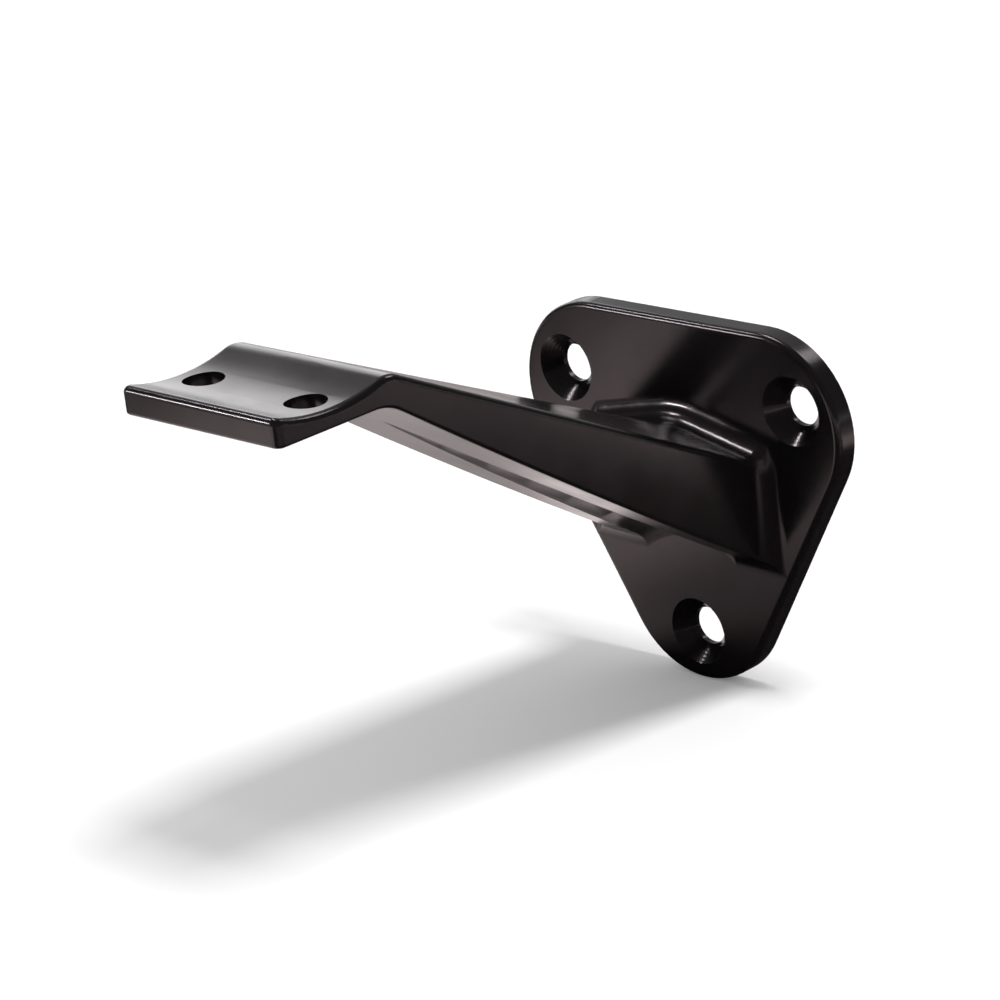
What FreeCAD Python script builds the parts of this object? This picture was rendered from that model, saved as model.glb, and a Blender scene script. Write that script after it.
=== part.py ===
# Handrail bracket: one die casting with a triangular wall plate, a sloping arm and a
# saddle that the rail sits on.
#
# Frame, in millimetres: the origin is on the wall, at the centre of the screw circle.
# +X runs along the rail, +Y goes into the wall and +Z is up, so the arm reaches along -Y.
import FreeCAD, Part
import math
import os

import Sketcher

doc = FreeCAD.newDocument("handrail_bracket")

# ---------------------------------------------------------------- driving dimensions
SIZES = [
    # alias, value, what it is
    ("screw_circle", 50.8, "diameter of the circle through the three wall screws"),
    ("screw_hole", 5.8, "clearance hole of a wall screw"),
    ("sink_mouth", 10.4, "countersink mouth on the front of the plate"),
    ("sink_angle", 82.0, "countersink angle, degrees"),
    ("plate_thick", 3.5, "wall plate thickness"),
    ("corner_rad", 14.1, "corner radius of the wall plate"),
    ("corner_circle", 37.8, "diameter of the circle through the plate's corner centres"),
    ("plate_edge_rad", 0.9, "rounding round the front of the plate"),
    ("rail_line", 81.9, "wall to the line of the rail and of its two screws"),
    ("seat_front", 9.9, "rail line to the outer end of the saddle"),
    ("seat_back", 10.0, "rail line to the ridge behind the seat"),
    ("flat_back", 9.4, "rail line to the inner end of the flat under the saddle"),
    ("saddle_rise", 34.3, "screw circle's centre up to the flat under the saddle"),
    ("saddle_web", 2.6, "saddle thickness at its thinnest, on the rail line"),
    ("seat_rad", 29.0, "radius of the seat that cups the rail"),
    ("saddle_width", 30.5, "width of the saddle at its outer end"),
    ("root_width", 32.3, "width of the arm where it meets the plate"),
    ("tip_corner_rad", 1.3, "rounding of the saddle's two outer corners"),
    ("rail_hole_pitch", 19.9, "distance between the two rail screw holes"),
    ("rail_hole", 5.8, "clearance hole of a rail screw"),
    ("root_crest", 6.8, "height of the arm's crest where it meets the plate"),
    ("crown_slope", 13.0, "sideways fall of the arm's top at the plate, degrees"),
    ("crest_rad", 16.0, "rounding along the crest at the plate"),
    ("root_sole", 11.9, "depth of the arm's underside below the origin at the plate"),
    ("sole_belly", 0.5, "bow of the underside between saddle and plate"),
    ("throat_rad", 8.0, "rounding between the underside and the saddle"),
    ("ridge_rad", 5.0, "rounding over the ridge behind the seat"),
    ("groove_width", 19.4, "width of the lightening groove at the plate"),
    ("groove_depth", 3.3, "depth of the groove at the plate"),
    ("groove_start", 64.0, "wall to the point of the cone that cuts the groove"),
    ("groove_lead", 0.25, "how far that point lies below the underside"),
    ("root_rad", 3.0, "fillet between arm and plate"),
    ("root_margin", 0.2, "least plate left outside the foot of that fillet"),
    ("rim_rad", 0.9, "rounding of the saddle's rim and the arm's upper edges"),
    ("sole_edge_rad", 0.5, "rounding of the arm's lower edges"),
]

sheet = doc.addObject("Spreadsheet::Sheet", "Sizes")
for row, (alias, value, meaning) in enumerate(SIZES, start=1):
    sheet.set("A%d" % row, meaning)
    sheet.set("B%d" % row, str(value))
    sheet.setAlias("B%d" % row, alias)
doc.recompute()

body = doc.addObject("PartDesign::Body", "Bracket")
body.Label = "bracket"


def formula(text):
    """The text with each size's name tied to the sheet, as an expression needs it."""
    for alias, _, _ in sorted(SIZES, key=lambda entry: -len(entry[0])):
        text = text.replace("{%s}" % alias, "Sizes.%s" % alias)
    return text


def value(text):
    """What a formula of sizes comes to now."""
    return float(sheet.evalExpression(formula(text)))


# ---------------------------------------------------------------- sketching helpers
def plane(role):
    for feature in body.Origin.OriginFeatures:
        if feature.Role == role:
            return feature
    raise ValueError("the body has no " + role)


def new_sketch(name, role, offset="0 mm"):
    sketch = body.newObject("Sketcher::SketchObject", name)
    sketch.AttachmentSupport = (plane(role), [""])
    sketch.MapMode = "FlatFace"
    sketch.setExpression("AttachmentOffset.Base.z", formula(offset))
    return sketch


def tie(sketch, kind, first, second, text, actual):
    """Hold the distance between two points, which FreeCAD wants as a positive number."""
    if actual < 0:
        first, second, text, actual = second, first, "-(%s)" % text, -actual
    index = sketch.addConstraint(Sketcher.Constraint(kind, *first, *second, actual))
    sketch.setExpression("Constraints[%d]" % index, formula(text))


def pin(sketch, geo, pos, across, up):
    """Hold one point of the sketch at two formulas, measured from the origin."""
    for kind, axis, text in (("DistanceX", -2, across), ("DistanceY", -1, up)):
        actual = value(text)
        if abs(actual) < 1e-9:
            sketch.addConstraint(Sketcher.Constraint("PointOnObject", geo, pos, axis))
        else:
            tie(sketch, kind, (-1, 1), (geo, pos), text, actual)


def outline(sketch, corners, arcs):
    """Draw a closed outline through the corners.

    arcs maps the number of a side to its radius formula and to +1 or -1, for a centre on
    the left or on the right of the way round. Each other side is straight.
    """
    points = [FreeCAD.Vector(value(across), value(up), 0) for across, up in corners]
    count = len(points)
    for side in range(count):
        start, end = points[side], points[(side + 1) % count]
        if side not in arcs:
            sketch.addGeometry(Part.LineSegment(start, end), False)
            continue
        radius, turn = value(arcs[side][0]), arcs[side][1]
        chord = end - start
        left = FreeCAD.Vector(-chord.y, chord.x, 0).normalize()
        apothem = math.sqrt(radius ** 2 - (chord.Length / 2) ** 2)
        bulge = start + chord * 0.5 - left * (turn * (radius - apothem))
        sketch.addGeometry(Part.Arc(start, bulge, end), False)
    # An arc's own ends run counter-clockwise, so a clockwise side starts at its end.
    ends = []
    for side in range(count):
        backwards = side in arcs and arcs[side][1] < 0
        ends.append((2, 1) if backwards else (1, 2))
    for side in range(count):
        following = (side + 1) % count
        sketch.addConstraint(
            Sketcher.Constraint(
                "Coincident", side, ends[side][1], following, ends[following][0]
            )
        )
    for side, (across, up) in enumerate(corners):
        pin(sketch, side, ends[side][0], across, up)
    for side, (radius, _) in arcs.items():
        index = sketch.addConstraint(
            Sketcher.Constraint("Radius", side, value(radius))
        )
        sketch.setExpression("Constraints[%d]" % index, formula(radius))


def circles(sketch, centres, diameter):
    for across, up in centres:
        centre = FreeCAD.Vector(value(across), value(up), 0)
        geo = sketch.addGeometry(
            Part.Circle(centre, FreeCAD.Vector(0, 0, 1), value(diameter) / 2), False
        )
        pin(sketch, geo, 3, across, up)
        index = sketch.addConstraint(
            Sketcher.Constraint("Diameter", geo, value(diameter))
        )
        sketch.setExpression("Constraints[%d]" % index, formula(diameter))


def settle(feature, grows):
    """Recompute and see that the feature really added or removed material."""
    before = feature.BaseFeature.Shape.Volume if feature.BaseFeature else 0.0
    doc.recompute()
    change = feature.Shape.Volume - before
    if grows != (change > 0) or abs(change) < 1e-6:
        raise RuntimeError("%s changed the volume by %.3f" % (feature.Name, change))
    return feature


def rounded(name, base, radius, wanted):
    """Round every edge of the base that passes the test."""
    names = []
    for number, edge in enumerate(base.Shape.Edges, start=1):
        if wanted(edge, base):
            names.append("Edge%d" % number)
    if not names:
        raise RuntimeError("%s found no edge to round" % name)
    fillet = body.newObject("PartDesign::Fillet", name)
    fillet.Base = (base, names)
    fillet.setExpression("Radius", formula(radius))
    doc.recompute()
    if "Invalid" in fillet.State or not fillet.Shape.isValid():
        raise RuntimeError("%s failed on %s" % (name, names))
    return fillet


def middle(edge):
    return edge.valueAt((edge.FirstParameter + edge.LastParameter) / 2)


def near(one, other):
    return abs(one - other) < 1e-3


# ---------------------------------------------------------------- side profile of the arm
# The seat is part of a circle about the rail; the sole runs down to the plate with a
# slight belly. Behind the ridge the block is still square, ready for the crown.
REACH = "({rail_line} + {seat_front})"
RIDGE_LINE = "({rail_line} - {seat_back})"
THROAT_LINE = "({rail_line} - {flat_back})"
SEAT_TOP = (
    "{saddle_rise} + {saddle_web} + {seat_rad}"
    " - sqrt({seat_rad}^2 - (%s - {rail_line})^2)"
)
RIDGE_TOP = SEAT_TOP % RIDGE_LINE
SOLE_RUN = "(%s - {plate_thick})" % THROAT_LINE
SOLE_RISE = "({saddle_rise} + {root_sole})"
SOLE_RAD = "((%s^2 + %s^2) / (8 * {sole_belly}) + {sole_belly} / 2)" % (SOLE_RUN, SOLE_RISE)

profile = new_sketch("ArmProfile", "YZ_Plane")
outline(
    profile,
    [
        ("-" + REACH, "{saddle_rise}"),
        ("-" + THROAT_LINE, "{saddle_rise}"),
        ("-{plate_thick}", "-{root_sole}"),
        ("-{plate_thick}", RIDGE_TOP),
        ("-" + RIDGE_LINE, RIDGE_TOP),
        ("-" + REACH, SEAT_TOP % REACH),
    ],
    {1: (SOLE_RAD, 1), 4: ("{seat_rad}", -1)},
)
block = body.newObject("PartDesign::Pad", "ArmBlock")
block.Profile = profile
block.setExpression("Length", formula("{saddle_width} + {root_width}"))
block.Midplane = True
settle(block, True)


def is_throat(edge, base):
    point = middle(edge)
    return near(point.y, -value(THROAT_LINE)) and near(point.z, value("{saddle_rise}"))


throat = rounded("ThroatRound", block, "{throat_rad}", is_throat)

# ---------------------------------------------------------------- plan taper of both sides
side_plan = new_sketch("SidePlan", "XY_Plane")
outline(
    side_plan,
    [
        ("{saddle_width} / 2", "-" + REACH),
        ("{saddle_width} + {root_width}", "-" + REACH),
        ("{saddle_width} + {root_width}", "-{plate_thick}"),
        ("{root_width} / 2", "-{plate_thick}"),
    ],
    {},
)
trim = body.newObject("PartDesign::Pocket", "SideTrim")
trim.Profile = side_plan
trim.Type = "ThroughAll"
trim.Midplane = True
settle(trim, False)
both_sides = body.newObject("PartDesign::Mirrored", "BothSides")
both_sides.Originals = [trim]
both_sides.MirrorPlane = (plane("YZ_Plane"), [""])
body.Tip = both_sides
doc.recompute()

# ---------------------------------------------------------------- crowned top of the arm
# The top is flat across at the ridge and falls to both sides where it meets the plate,
# so it is one ruled surface between two sections.
CREST_HALF = "({crest_rad} * sin({crown_slope} * 1 deg))"
CREST_SIDE = "({root_crest} - {crest_rad} * (1 - cos({crown_slope} * 1 deg)))"
CROWN_EDGE = "(%s - ({root_width} - %s) * tan({crown_slope} * 1 deg))" % (
    CREST_SIDE,
    CREST_HALF,
)
CLEAR_ABOVE = "(%s + {seat_rad})" % RIDGE_TOP

ridge_section = new_sketch("RidgeSection", "XZ_Plane", RIDGE_LINE)
outline(
    ridge_section,
    [
        ("-{root_width}", RIDGE_TOP),
        ("-" + CREST_HALF, RIDGE_TOP),
        (CREST_HALF, RIDGE_TOP),
        ("{root_width}", RIDGE_TOP),
        ("{root_width}", CLEAR_ABOVE),
        ("-{root_width}", CLEAR_ABOVE),
    ],
    {},
)
root_section = new_sketch("RootSection", "XZ_Plane", "{plate_thick}")
outline(
    root_section,
    [
        ("-{root_width}", CROWN_EDGE),
        ("-" + CREST_HALF, CREST_SIDE),
        (CREST_HALF, CREST_SIDE),
        ("{root_width}", CROWN_EDGE),
        ("{root_width}", CLEAR_ABOVE),
        ("-{root_width}", CLEAR_ABOVE),
    ],
    {1: ("{crest_rad}", -1)},
)
crown = body.newObject("PartDesign::SubtractiveLoft", "Crown")
crown.Profile = ridge_section
crown.Sections = [root_section]
crown.Ruled = True
settle(crown, False)

# ---------------------------------------------------------------- groove under the arm
# A cone whose point lies just below the underside, so the groove fades in there and gets
# wider and deeper towards the plate. Its axis makes one angle with the groove's ceiling
# and with its rim, which both start from that point.
SOLE_SHARE = "(({groove_start} - {plate_thick}) / %s)" % SOLE_RUN
CONE_POINT = (
    "(%s * %s - {root_sole} - 4 * {sole_belly} * %s * (1 - %s) - {groove_lead})"
    % (SOLE_RISE, SOLE_SHARE, SOLE_SHARE, SOLE_SHARE)
)
CONE_RUN = "({groove_start} - {plate_thick})"
RIM_DROP = "(%s + {root_sole})" % CONE_POINT
CEILING_DROP = "(%s - {groove_depth})" % RIM_DROP
RIM_REACH = "sqrt({groove_width}^2 / 4 + %s^2 + %s^2)" % (CONE_RUN, RIM_DROP)
CEILING_REACH = "sqrt(%s^2 + %s^2)" % (CONE_RUN, CEILING_DROP)
AXIS_SLOPE = "(%s * (1 / %s - 1 / %s) / (%s / %s - %s / %s))" % (
    CONE_RUN,
    CEILING_REACH,
    RIM_REACH,
    RIM_DROP,
    RIM_REACH,
    CEILING_DROP,
    CEILING_REACH,
)
CONE_LENGTH = "({groove_start} + {root_width})"

cone_half = new_sketch("ConeHalf", "YZ_Plane")
outline(
    cone_half,
    [
        ("-{groove_start}", CONE_POINT),
        ("{root_width}", "%s - %s * %s" % (CONE_POINT, CONE_LENGTH, AXIS_SLOPE)),
        (
            "{root_width}",
            "%s - %s * %s / %s" % (CONE_POINT, CONE_LENGTH, CEILING_DROP, CONE_RUN),
        ),
    ],
    {},
)
groove = body.newObject("PartDesign::Groove", "Groove")
groove.Profile = cone_half
groove.ReferenceAxis = (cone_half, ["Edge1"])
groove.Angle = 360
settle(groove, False)

# ---------------------------------------------------------------- wall plate
# Three equal corners, 120 degrees apart about the origin like the screws.
COS_30 = "cos(30 deg)"
SIN_30 = "0.5"
CENTRE_X = "({corner_circle} / 2 * %s)" % COS_30
CENTRE_Z = "({corner_circle} / 2 * %s)" % SIN_30
FLANK_X = "({corner_rad} * %s)" % COS_30
FLANK_Z = "({corner_rad} * %s)" % SIN_30

plate_outline = new_sketch("PlateOutline", "XZ_Plane")
outline(
    plate_outline,
    [
        (CENTRE_X, CENTRE_Z + " + {corner_rad}"),
        ("-" + CENTRE_X, CENTRE_Z + " + {corner_rad}"),
        ("-%s - %s" % (CENTRE_X, FLANK_X), "%s - %s" % (CENTRE_Z, FLANK_Z)),
        ("-" + FLANK_X, "-{corner_circle} / 2 - " + FLANK_Z),
        (FLANK_X, "-{corner_circle} / 2 - " + FLANK_Z),
        ("%s + %s" % (CENTRE_X, FLANK_X), "%s - %s" % (CENTRE_Z, FLANK_Z)),
    ],
    {1: ("{corner_rad}", 1), 3: ("{corner_rad}", 1), 5: ("{corner_rad}", 1)},
)
plate = body.newObject("PartDesign::Pad", "Plate")
plate.Profile = plate_outline
plate.setExpression("Length", formula("{plate_thick}"))
settle(plate, True)

# ---------------------------------------------------------------- fillets and roundings
# The edges are picked by where they lie and by the way the faces beside them look. The
# upper edges are rounded before the root fillet, which then rolls round them, and the
# crisp lower edges after it.
def end_points(edge):
    return edge.Vertexes[0].Point, edge.Vertexes[-1].Point


def on_front(edge):
    """True for an edge that lies wholly in the front of the plate."""
    front = -value("{plate_thick}")
    return all(near(point.y, front) for point in (*end_points(edge), middle(edge)))


def is_root(edge, base):
    point = middle(edge)
    beside = abs(point.x) < value("{root_width} / 2") + 0.01
    return on_front(edge) and beside and abs(point.z) < value("{root_sole}") + 0.01


def is_plate_edge(edge, base):
    """True for an edge of the plate's outline, which meets a side wall of the plate."""
    walls = base.Shape.ancestorsOfType(edge, Part.Face)
    return on_front(edge) and any(near(face.BoundBox.YMax, 0) for face in walls)


def is_ridge(edge, base):
    point = middle(edge)
    return near(point.y, -value(RIDGE_LINE)) and near(point.z, value(RIDGE_TOP))


def is_tip_corner(edge, base):
    first, last = end_points(edge)
    outer = -value(REACH)
    return near(first.y, outer) and near(last.y, outer) and near(first.x, last.x)


def lean(edge, base):
    """How far the faces at the edge look down (-1) or up (+1), the lowest first."""
    point = middle(edge)
    leans = []
    for face in base.Shape.ancestorsOfType(edge, Part.Face):
        leans.append(face.normalAt(*face.Surface.parameter(point)).z)
    return sorted(leans)


def reaches_out(edge):
    """True for an edge that goes past the middle of the arm."""
    return min(point.y for point in end_points(edge)) < -value(RIDGE_LINE + " / 2")


def is_rim(edge, base):
    leans = lean(edge, base)
    return reaches_out(edge) and abs(leans[0]) < 0.05 and leans[-1] > 0.3


def is_sole_edge(edge, base):
    leans = lean(edge, base)
    return reaches_out(edge) and leans[0] < -0.3 and abs(leans[-1]) < 0.05


# The root fillet's lower corners must stay on the plate, beside its slanting flanks.
FLANK_ROOM = (
    "({corner_circle} / 4 + {corner_rad} - {root_margin}"
    " - %s * {root_width} / 2 - %s * {root_sole})" % (COS_30, SIN_30)
)
CORNER_STEP = "(%s + %s * tan(45 deg - atan(%s / %s) / 2))" % (
    COS_30,
    SIN_30,
    SOLE_RISE,
    SOLE_RUN,
)
ROOT_ROUND = "min({root_rad}; %s / %s)" % (FLANK_ROOM, CORNER_STEP)

ridge = rounded("RidgeRound", plate, "{ridge_rad}", is_ridge)
corners = rounded("TipCorners", ridge, "{tip_corner_rad}", is_tip_corner)
rim = rounded("RimRound", corners, "{rim_rad}", is_rim)
root = rounded("RootFillet", rim, ROOT_ROUND, is_root)
sole = rounded("SoleEdges", root, "{sole_edge_rad}", is_sole_edge)
plate_edge = rounded("PlateEdge", sole, "{plate_edge_rad}", is_plate_edge)

# ---------------------------------------------------------------- screw holes
screw_point = new_sketch("ScrewPoint", "XZ_Plane", "{plate_thick}")
circles(screw_point, [("0", "-{screw_circle} / 2")], "{screw_hole}")
doc.recompute()
screw = body.newObject("PartDesign::Hole", "ScrewHole")
screw.Profile = screw_point
screw.DepthType = "ThroughAll"
screw.Threaded = False
screw.setExpression("Diameter", formula("{screw_hole}"))
screw.HoleCutType = "Countersink"
screw.HoleCutCustomValues = True
screw.setExpression("HoleCutDiameter", formula("{sink_mouth}"))
screw.setExpression("HoleCutCountersinkAngle", formula("{sink_angle} * 1 deg"))
settle(screw, False)
screws = body.newObject("PartDesign::PolarPattern", "ScrewHoles")
screws.Originals = [screw]
screws.Axis = (plane("Y_Axis"), [""])
screws.Angle = 360
screws.Occurrences = 3
body.Tip = screws
doc.recompute()

rail_points = new_sketch("RailScrewPoints", "XY_Plane")
circles(
    rail_points,
    [("-{rail_hole_pitch} / 2", "-{rail_line}"), ("{rail_hole_pitch} / 2", "-{rail_line}")],
    "{rail_hole}",
)
rail_screws = body.newObject("PartDesign::Pocket", "RailScrewHoles")
rail_screws.Profile = rail_points
rail_screws.Type = "ThroughAll"
rail_screws.Midplane = True
settle(rail_screws, False)
body.Tip = rail_screws
doc.recompute()

# ---------------------------------------------------------------- checks and export
for item in doc.Objects:
    if "Invalid" in item.State or "Error" in item.State:
        raise RuntimeError("%s did not recompute" % item.Name)
if body.Shape.isNull() or not body.Shape.isValid() or len(body.Shape.Solids) != 1:
    raise RuntimeError("the bracket is not one valid solid")
print("bracket %.0f mm3, %d faces" % (body.Shape.Volume, len(body.Shape.Faces)))

os.makedirs("parts", exist_ok=True)
body.Shape.exportStep(os.path.join("parts", body.Label + ".step"))
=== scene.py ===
# Scene of a wall-mounted handrail bracket: one black powder-coated casting on a pale floor.
import math

import bpy
import numpy as np
from mathutils import Matrix, Vector


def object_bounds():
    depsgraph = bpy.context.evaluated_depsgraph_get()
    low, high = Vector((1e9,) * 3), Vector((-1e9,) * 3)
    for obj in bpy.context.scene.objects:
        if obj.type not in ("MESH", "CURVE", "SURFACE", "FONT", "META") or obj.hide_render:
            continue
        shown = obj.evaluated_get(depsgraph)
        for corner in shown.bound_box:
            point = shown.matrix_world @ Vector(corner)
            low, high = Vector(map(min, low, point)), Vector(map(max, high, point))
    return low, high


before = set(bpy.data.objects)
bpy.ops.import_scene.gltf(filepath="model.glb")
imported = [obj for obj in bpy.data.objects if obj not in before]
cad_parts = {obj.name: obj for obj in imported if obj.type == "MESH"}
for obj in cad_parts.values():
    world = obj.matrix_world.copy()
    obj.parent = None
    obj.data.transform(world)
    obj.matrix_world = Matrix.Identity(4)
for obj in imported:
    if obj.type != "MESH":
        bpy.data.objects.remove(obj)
cad_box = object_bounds()


# ---------------------------------------------------------------- powder-coated casting
# The bracket is one zinc die casting that three screws hold to the wall. Its black
# polyester powder coat is stoved to a satin gloss, smooth but for a faint orange peel and
# small changes of gloss, and its sheen leans to a warm plum grey.
COAT_BLACK = "#0b0a0a"
COAT_SHEEN = "#ffeff6"
COAT_IOR = 1.55
MM_PER_M = 1000
# Roughness runs from shiny to satin where the noise runs between its two limits.
SHINY, SATIN = 0.17, 0.23
PATCH_FROM, PATCH_TO = 0.35, 0.65
GLOSS_PATCH_MM = 9.0
GLOSS_PATCH_DETAIL = 2.0
PEEL_MM = 1.6
PEEL_DETAIL = 1.5
PEEL_HEIGHT_MM = 0.004
# The countersinks are turned after casting and coated over. Turning marks are about
# 0.1 mm apart, which is too fine to show, so the rings are drawn 0.4 mm apart.
RING_MM = 0.4
RING_HEIGHT_MM = 0.006
SCREW_CIRCLE_MM = 50.8
SCREW_TURNS = (-90, 30, 150)
MOUTH_MM = 10.4


def linear(code):
    """The linear colour of an sRGB hex code: c/12.92 below 0.04045, else a 2.4 power."""
    shares = [int(code[at:at + 2], 16) / 255 for at in (1, 3, 5)]
    return [
        share / 12.92 if share <= 0.04045 else ((share + 0.055) / 1.055) ** 2.4
        for share in shares
    ] + [1.0]


def add_node(tree, kind, settings=(), inputs=()):
    """Add one node, set its properties, and fill or link its inputs."""
    node = tree.nodes.new(kind)
    for name, setting in dict(settings).items():
        setattr(node, name, setting)
    for name, source in dict(inputs).items():
        if isinstance(source, bpy.types.NodeSocket):
            tree.links.new(source, node.inputs[name])
        else:
            node.inputs[name].default_value = source
    return node


def new_material(name):
    """A material with an empty node tree."""
    material = bpy.data.materials.new(name)
    material.use_nodes = True
    material.node_tree.nodes.clear()
    return material


coat = new_material("black_powder_coat")
tree = coat.node_tree
place = add_node(tree, "ShaderNodeTexCoord").outputs["Object"]
peel = add_node(
    tree,
    "ShaderNodeTexNoise",
    {"noise_dimensions": "3D"},
    {"Vector": place, "Scale": MM_PER_M / PEEL_MM, "Detail": PEEL_DETAIL},
)
patches = add_node(
    tree,
    "ShaderNodeTexNoise",
    {"noise_dimensions": "3D"},
    {"Vector": place, "Scale": MM_PER_M / GLOSS_PATCH_MM, "Detail": GLOSS_PATCH_DETAIL},
)
gloss = add_node(
    tree,
    "ShaderNodeMapRange",
    {},
    {
        "Value": patches.outputs["Fac"],
        "From Min": PATCH_FROM,
        "From Max": PATCH_TO,
        "To Min": SHINY,
        "To Max": SATIN,
    },
)
# Rings: a sine of the distance to the nearest screw's axis, kept inside its mouth. The
# screws' axes run along Y, so the distance is taken with Y left out. It starts from one
# metre, which is farther than any screw.
flat = add_node(
    tree, "ShaderNodeVectorMath", {"operation": "MULTIPLY"}, {0: place, 1: (1.0, 0.0, 1.0)}
)
screw_reach = SCREW_CIRCLE_MM / 2 / MM_PER_M
nearest = 1.0
for turn in SCREW_TURNS:
    angle = math.radians(turn)
    screw = (screw_reach * math.cos(angle), 0.0, screw_reach * math.sin(angle))
    distance = add_node(
        tree,
        "ShaderNodeVectorMath",
        {"operation": "DISTANCE"},
        {0: flat.outputs["Vector"], 1: screw},
    )
    nearest = add_node(
        tree,
        "ShaderNodeMath",
        {"operation": "MINIMUM"},
        {0: nearest, 1: distance.outputs["Value"]},
    ).outputs["Value"]
phase = add_node(
    tree,
    "ShaderNodeMath",
    {"operation": "MULTIPLY"},
    {0: nearest, 1: 2 * math.pi * MM_PER_M / RING_MM},
)
rings = add_node(
    tree, "ShaderNodeMath", {"operation": "SINE"}, {0: phase.outputs["Value"]}
)
inside = add_node(
    tree,
    "ShaderNodeMath",
    {"operation": "LESS_THAN"},
    {0: nearest, 1: MOUTH_MM / 2 / MM_PER_M},
)
kept = add_node(
    tree,
    "ShaderNodeMath",
    {"operation": "MULTIPLY"},
    {0: rings.outputs["Value"], 1: inside.outputs["Value"]},
)
turned = add_node(
    tree,
    "ShaderNodeMath",
    {"operation": "MULTIPLY"},
    {0: kept.outputs["Value"], 1: RING_HEIGHT_MM / 2},
)
height = add_node(
    tree,
    "ShaderNodeMath",
    {"operation": "MULTIPLY_ADD"},
    {0: peel.outputs["Fac"], 1: PEEL_HEIGHT_MM, 2: turned.outputs["Value"]},
)
relief = add_node(
    tree,
    "ShaderNodeBump",
    {},
    {"Strength": 1.0, "Distance": 1 / MM_PER_M, "Height": height.outputs["Value"]},
)
shader = add_node(
    tree,
    "ShaderNodeBsdfPrincipled",
    {},
    {
        "Base Color": linear(COAT_BLACK),
        "Roughness": gloss.outputs["Result"],
        "IOR": COAT_IOR,
        "Specular Tint": linear(COAT_SHEEN),
        "Normal": relief.outputs["Normal"],
    },
)
add_node(tree, "ShaderNodeOutputMaterial", {}, {"Surface": shader.outputs["BSDF"]})

casting = bpy.data.objects["bracket"]
for slot in casting.material_slots:
    slot.material = coat


# ---------------------------------------------------------------- floor
# A matt pale floor that the foot of the plate stands on. It glows a little for the camera
# and for gloss, which takes it to white and still keeps the bracket's soft shadow.
FLOOR_WHITE = "#f2f1f1"
FLOOR_SIZE = 6.0
PAPER_GLOW = 0.13
BLACK = (0.0, 0.0, 0.0, 1.0)


def wide_sheet(name, line, level):
    """A flat square grid at one level, with the same line of places along x and y."""
    grid_x, grid_y = np.meshgrid(line, line)
    points = np.column_stack(
        [grid_x.ravel(), grid_y.ravel(), np.full(grid_x.size, level)]
    )
    corner = np.arange(grid_x.size).reshape(grid_x.shape)
    faces = np.stack(
        [corner[:-1, :-1], corner[:-1, 1:], corner[1:, 1:], corner[1:, :-1]], axis=-1
    )
    mesh = bpy.data.meshes.new(name)
    mesh.from_pydata(points.tolist(), [], faces.reshape(-1, 4).tolist())
    sheet = bpy.data.objects.new(name, mesh)
    bpy.context.collection.objects.link(sheet)
    return sheet


def matt_paper(name, code, shade_name=None):
    """A matt colour that glows a little for the camera and for gloss alone.

    With the name of an attribute, its 0 to 1 darkens both the colour and the glow.
    """
    paper = new_material(name)
    tree = paper.node_tree
    colour = linear(code)
    matt = add_node(tree, "ShaderNodeBsdfDiffuse", {}, {"Color": colour})
    rays = add_node(tree, "ShaderNodeLightPath")
    seen = add_node(
        tree,
        "ShaderNodeMath",
        {"operation": "MAXIMUM"},
        {0: rays.outputs["Is Camera Ray"], 1: rays.outputs["Is Glossy Ray"]},
    )
    strength = add_node(
        tree,
        "ShaderNodeMath",
        {"operation": "MULTIPLY"},
        {0: seen.outputs["Value"], 1: PAPER_GLOW},
    )
    if shade_name:
        # A Mix node of colours mixes its inputs 6 and 7 to its output 2.
        shade = add_node(tree, "ShaderNodeAttribute", {"attribute_name": shade_name})
        shaded = add_node(
            tree,
            "ShaderNodeMix",
            {"data_type": "RGBA"},
            {0: shade.outputs["Fac"], 6: BLACK, 7: colour},
        )
        tree.links.new(shaded.outputs[2], matt.inputs["Color"])
        strength = add_node(
            tree,
            "ShaderNodeMath",
            {"operation": "MULTIPLY"},
            {0: strength.outputs["Value"], 1: shade.outputs["Fac"]},
        )
    glow = add_node(
        tree,
        "ShaderNodeEmission",
        {},
        {"Color": colour, "Strength": strength.outputs["Value"]},
    )
    both = add_node(
        tree,
        "ShaderNodeAddShader",
        {},
        {0: matt.outputs["BSDF"], 1: glow.outputs["Emission"]},
    )
    add_node(tree, "ShaderNodeOutputMaterial", {}, {"Surface": both.outputs["Shader"]})
    return paper


floor_level = cad_box[0][2]
floor = wide_sheet("floor", (-FLOOR_SIZE / 2, FLOOR_SIZE / 2), floor_level)
floor.data.materials.append(matt_paper("floor_paint", FLOOR_WHITE))


# ---------------------------------------------------------------- shaded card
# A large card lies on the floor and only gloss sees it. Its soft shades of grey are painted
# shade and painted reflection, so the arm's sides, sole and the plate mirror dark and light
# tones instead of plain white.
CARD_PAPER = "#f4e8e7"
CARD_HALF = 0.60
CARD_STEP = 0.005
CARD_LIFT = 0.0002
# Each fade: its strength, and where it starts and ends in metres, along y unless it says
# x, slant or foot. The card's left half is x below 0, and its front is y below 0.
# The dark foot and the dark right half are painted shadow of the bracket on the floor, and
# the slant, left and under-arm fades are painted shade, all for the gloss to mirror.
CARD_FADES = {
    "slant dark": (0.85, -0.008, 0.016),
    "under arm x": (1.60, -0.060, -0.045),
    "front to rear": (1.00, -0.030, 0.000),
    "foot near": (0.70, 0.012, 0.026),
    "foot far": (0.60, 0.040, 0.075),
    "left dark": (1.00, 0.020, 0.028),
    "left rear": (0.50, 0.050, 0.100),
    "strip front": (1.20, 0.064, 0.072),
    "strip rear": (1.00, 0.090, 0.130),
    "strip inner x": (1.00, 0.070, 0.090),
    "strip outer x": (0.40, 0.125, 0.150),
    "beyond x": (0.35, 0.140, 0.160),
    "right dark x": (1.00, 0.190, 0.240),
    "far x": (0.35, 0.260, 0.320),
    "far rear": (1.00, 0.050, 0.150),
    "left to right x": (1.00, -0.010, 0.010),
}
UNDER_ARM_SHADE = 0.33
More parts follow.
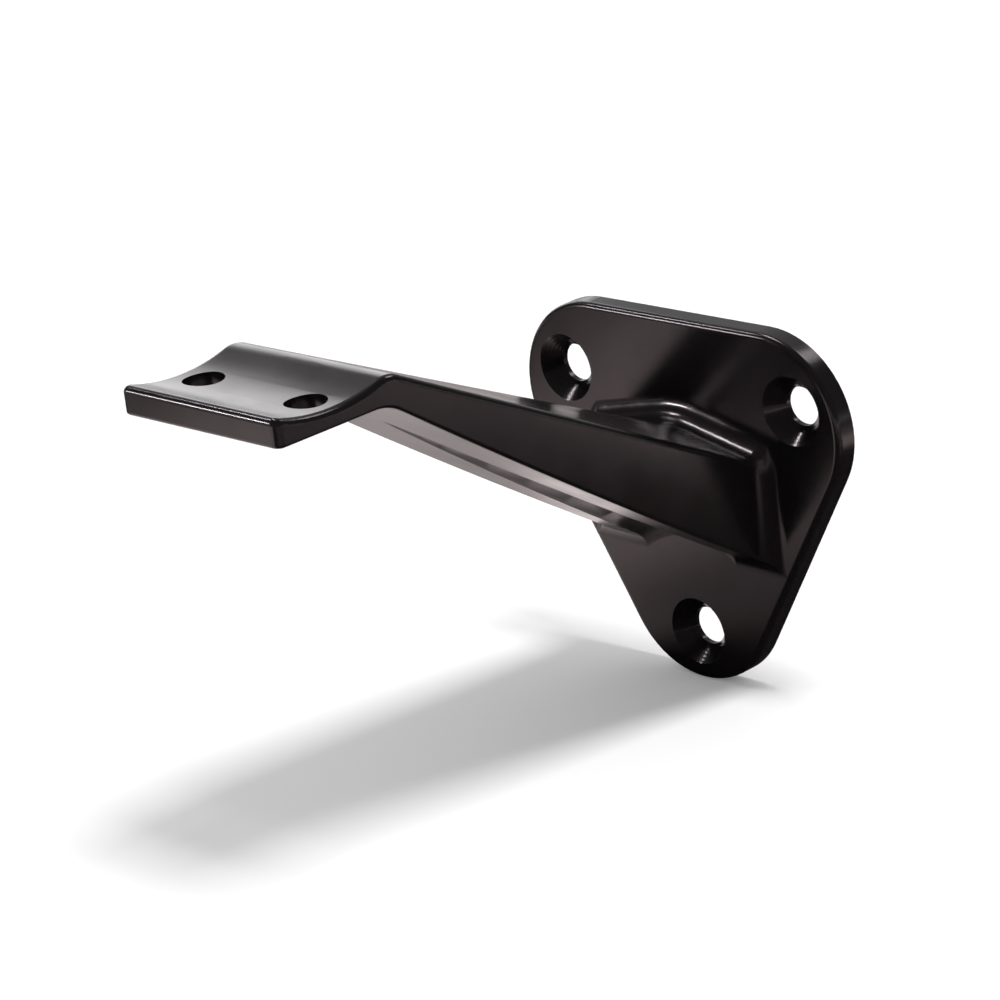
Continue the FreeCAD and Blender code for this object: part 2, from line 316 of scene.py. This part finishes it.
RIGHT_SHADE = 0.03
SLANT = 0.39
SLANT_AT = (-0.128, -0.126)
FOOT_AT_Y = -0.003
# The spot here and the strip in the fades are painted light: bright patches that the arm's
# near side mirrors.
SPOT_SHADE = 0.50
SPOT_AT_X = 0.118
SPOT_WIDTH, SPOT_DEPTH = 0.020, 0.025


def fade(name, place):
    """0 before the fade starts, its strength after it ends, a smooth cubic step between."""
    strength, start, end = CARD_FADES[name]
    share = np.clip((place - start) / (end - start), 0, 1)
    return strength * (share * share * (3 - 2 * share))


def painted_reflection_shade(x, y):
    """The card's painted shade, from 0 black: a left half, a mostly dark right half with a
    bright strip and spot of painted light, and a dark foot of painted shadow.
    """
    past_slant = SLANT * (y - SLANT_AT[1]) - (x - SLANT_AT[0])
    front_left = 1 - fade("slant dark", past_slant)
    under_arm = UNDER_ARM_SHADE + fade("under arm x", x)
    left = front_left + (under_arm - front_left) * fade("front to rear", y)
    from_foot = np.hypot(x, y - FOOT_AT_Y)
    left = left * (fade("foot near", from_foot) + fade("foot far", from_foot))
    left = left * (1 - fade("left dark", y)) + fade("left rear", y)
    strip = fade("strip front", y) * (1 - fade("strip rear", y))
    strip = strip * fade("strip inner x", x) * (1 - fade("strip outer x", x))
    spot_x = (x - SPOT_AT_X) / SPOT_WIDTH
    spot_y = y / SPOT_DEPTH
    spot = SPOT_SHADE * np.exp(-(spot_x ** 2) - spot_y ** 2)
    right = np.maximum(strip, fade("beyond x", x)) * (1 - fade("right dark x", x))
    right = right + spot + fade("far x", x) * (1 - fade("far rear", y)) + RIGHT_SHADE
    return left + (right - left) * fade("left to right x", x)


card_line = np.arange(-CARD_HALF, CARD_HALF, CARD_STEP)
card = wide_sheet("card", card_line, floor_level + CARD_LIFT)
shade = card.data.attributes.new("shade", "FLOAT", "POINT")
shade.data.foreach_set("value", painted_reflection_shade(*np.meshgrid(card_line, card_line)).ravel())
card.data.materials.append(matt_paper("card_painted_reflection", CARD_PAPER, "shade"))
card.visible_camera = False
card.visible_diffuse = False
card.visible_shadow = False


# ---------------------------------------------------------------- studio
# An even surround gives the soft part of the light. The gloss alone sees it dimmer, as a
# grey behind and to the left that fades to black towards the front and the right.
STUDIO_FILL = 0.60
STUDIO_LIGHT = 0.32
STUDIO_DARK = 0.08
# Along each axis of the direction: where the gloss's surround is dark, and where light.
STUDIO_FADES = {"X": (0.25, -0.35), "Y": (-0.05, 0.45)}

world = bpy.data.worlds.new("studio")
world.use_nodes = True
tree = world.node_tree
tree.nodes.clear()
direction = add_node(tree, "ShaderNodeTexCoord").outputs["Generated"]
parts = add_node(tree, "ShaderNodeSeparateXYZ", {}, {"Vector": direction})
fades = [
    add_node(
        tree,
        "ShaderNodeMapRange",
        {"interpolation_type": "SMOOTHSTEP"},
        {"Value": parts.outputs[part], "From Min": dark_at, "From Max": light_at},
    ).outputs["Result"]
    for part, (dark_at, light_at) in STUDIO_FADES.items()
]
both_fades = add_node(
    tree, "ShaderNodeMath", {"operation": "MULTIPLY"}, {0: fades[0], 1: fades[1]}
)
gloss_level = add_node(
    tree,
    "ShaderNodeMath",
    {"operation": "MULTIPLY_ADD"},
    {0: both_fades.outputs["Value"], 1: STUDIO_LIGHT, 2: STUDIO_DARK},
)
# A Mix node of numbers mixes its inputs 2 and 3 to its output 0.
rays = add_node(tree, "ShaderNodeLightPath")
surround = add_node(
    tree,
    "ShaderNodeMix",
    {"data_type": "FLOAT"},
    {0: rays.outputs["Is Glossy Ray"], 2: STUDIO_FILL, 3: gloss_level.outputs["Value"]},
)
# The camera itself sees white behind the floor's far edge.
shown = add_node(
    tree,
    "ShaderNodeMath",
    {"operation": "MAXIMUM"},
    {0: surround.outputs[0], 1: rays.outputs["Is Camera Ray"]},
)
backdrop = add_node(
    tree,
    "ShaderNodeBackground",
    {},
    {"Color": (1.0, 1.0, 1.0, 1.0), "Strength": shown.outputs["Value"]},
)
add_node(
    tree, "ShaderNodeOutputWorld", {}, {"Surface": backdrop.outputs["Background"]}
)
bpy.context.scene.world = world


# ---------------------------------------------------------------- lamps
# One soft lamp high on the right lights the bracket and gives its shadow on the floor.
# Five small lamps are seen by gloss alone, and draw its bright lines and patches.
KEY_FROM = (0.34, -0.01, 0.94)
KEY_REACH = 3.0
KEY_SIZE = 0.70
KEY_WATTS = 58.0
GLOSS_LAMPS = {
    # Overhead, for the bright line along the root of the arm.
    "root_strip": {
        "start": (-0.10, -0.05, 0.52),
        "end": (-0.24, 0.02, 0.45),
        "breadth": 0.018,
        "faces": (0.0, -0.004, 0.01),
        "watts": 0.55,
    },
    # High on the left, for the streaks in the countersinks.
    "sink_lamp": {
        "start": (-0.32, -0.14, 0.37),
        "end": (-0.32, -0.10, 0.37),
        "breadth": 0.04,
        "faces": (0.0, -0.003, 0.0),
        "watts": 0.22,
    },
    # In front on the left, for the rounded edge of the plate.
    "edge_strip": {
        "start": (-0.418, -0.54, 0.19),
        "end": (-0.492, -0.474, 0.19),
        "breadth": 0.025,
        "faces": (0.0, 0.0, 0.022),
        "watts": 0.9,
    },
    # Low behind on the left, for the seat of the saddle.
    "seat_panel": {
        "start": (-0.224, 0.197, 0.12),
        "end": (-0.326, 0.063, 0.12),
        "breadth": 0.15,
        "faces": (0.0, -0.083, 0.037),
        "watts": 0.13,
    },
    # High behind on the right, for the near edge of the arm's top.
    "arm_panel": {
        "start": (0.03, 0.29, 0.39),
        "end": (0.14, 0.29, 0.39),
        "breadth": 0.12,
        "faces": (0.015, -0.05, 0.03),
        "watts": 0.27,
    },
}


def hang_lamp(name, start, end, breadth, faces, watts):
    """A rectangular lamp about the line from start to end, turned to face a point."""
    start, end = Vector(start), Vector(end)
    middle = (start + end) / 2
    along = (end - start).normalized()
    back = middle - Vector(faces)
    back = (back - along * back.dot(along)).normalized()
    across = back.cross(along)
    lamp = bpy.data.lights.new(name, "AREA")
    lamp.shape = "RECTANGLE"
    lamp.size = (end - start).length
    lamp.size_y = breadth
    lamp.energy = watts
    stand = bpy.data.objects.new(name, lamp)
    stand.matrix_world = Matrix(
        [[along[row], across[row], back[row], middle[row]] for row in range(3)]
        + [[0, 0, 0, 1]]
    )
    bpy.context.collection.objects.link(stand)
    return stand


centre = (Vector(cad_box[0]) + Vector(cad_box[1])) / 2
key_place = centre + Vector(KEY_FROM).normalized() * KEY_REACH
half_key = Vector((0, KEY_SIZE / 2, 0))
key = hang_lamp(
    "key_lamp", key_place - half_key, key_place + half_key, KEY_SIZE, centre, KEY_WATTS
)
key.visible_glossy = False
for name, setting in GLOSS_LAMPS.items():
    gloss_lamp = hang_lamp(name, **setting)
    gloss_lamp.visible_diffuse = False


# ---------------------------------------------------------------- camera
# In front on the right and above the saddle, looking down across the arm at the plate.
# The angles are in radians: yaw about the vertical, pitch down, and roll about the view.
CAMERA_AT = (0.353392, -0.373269, 0.182564)
CAMERA_YAW = 0.815712
CAMERA_PITCH = 0.345428
CAMERA_ROLL = -0.114491
CAMERA_LENS_MM = 133.39
CAMERA_SENSOR_MM = 36.0

ahead = Vector(
    (
        -math.sin(CAMERA_YAW) * math.cos(CAMERA_PITCH),
        math.cos(CAMERA_YAW) * math.cos(CAMERA_PITCH),
        -math.sin(CAMERA_PITCH),
    )
)
level = Vector((math.cos(CAMERA_YAW), math.sin(CAMERA_YAW), 0))
upright = level.cross(ahead)
side = math.cos(CAMERA_ROLL) * level + math.sin(CAMERA_ROLL) * upright
top = -math.sin(CAMERA_ROLL) * level + math.cos(CAMERA_ROLL) * upright
lens = bpy.data.cameras.new("camera")
lens.lens = CAMERA_LENS_MM
lens.sensor_width = CAMERA_SENSOR_MM
camera = bpy.data.objects.new("camera", lens)
camera.matrix_world = Matrix(
    [[side[row], top[row], -ahead[row], CAMERA_AT[row]] for row in range(3)]
    + [[0, 0, 0, 1]]
)
bpy.context.collection.objects.link(camera)
bpy.context.scene.camera = camera
bpy.context.scene.view_settings.view_transform = "Standard"
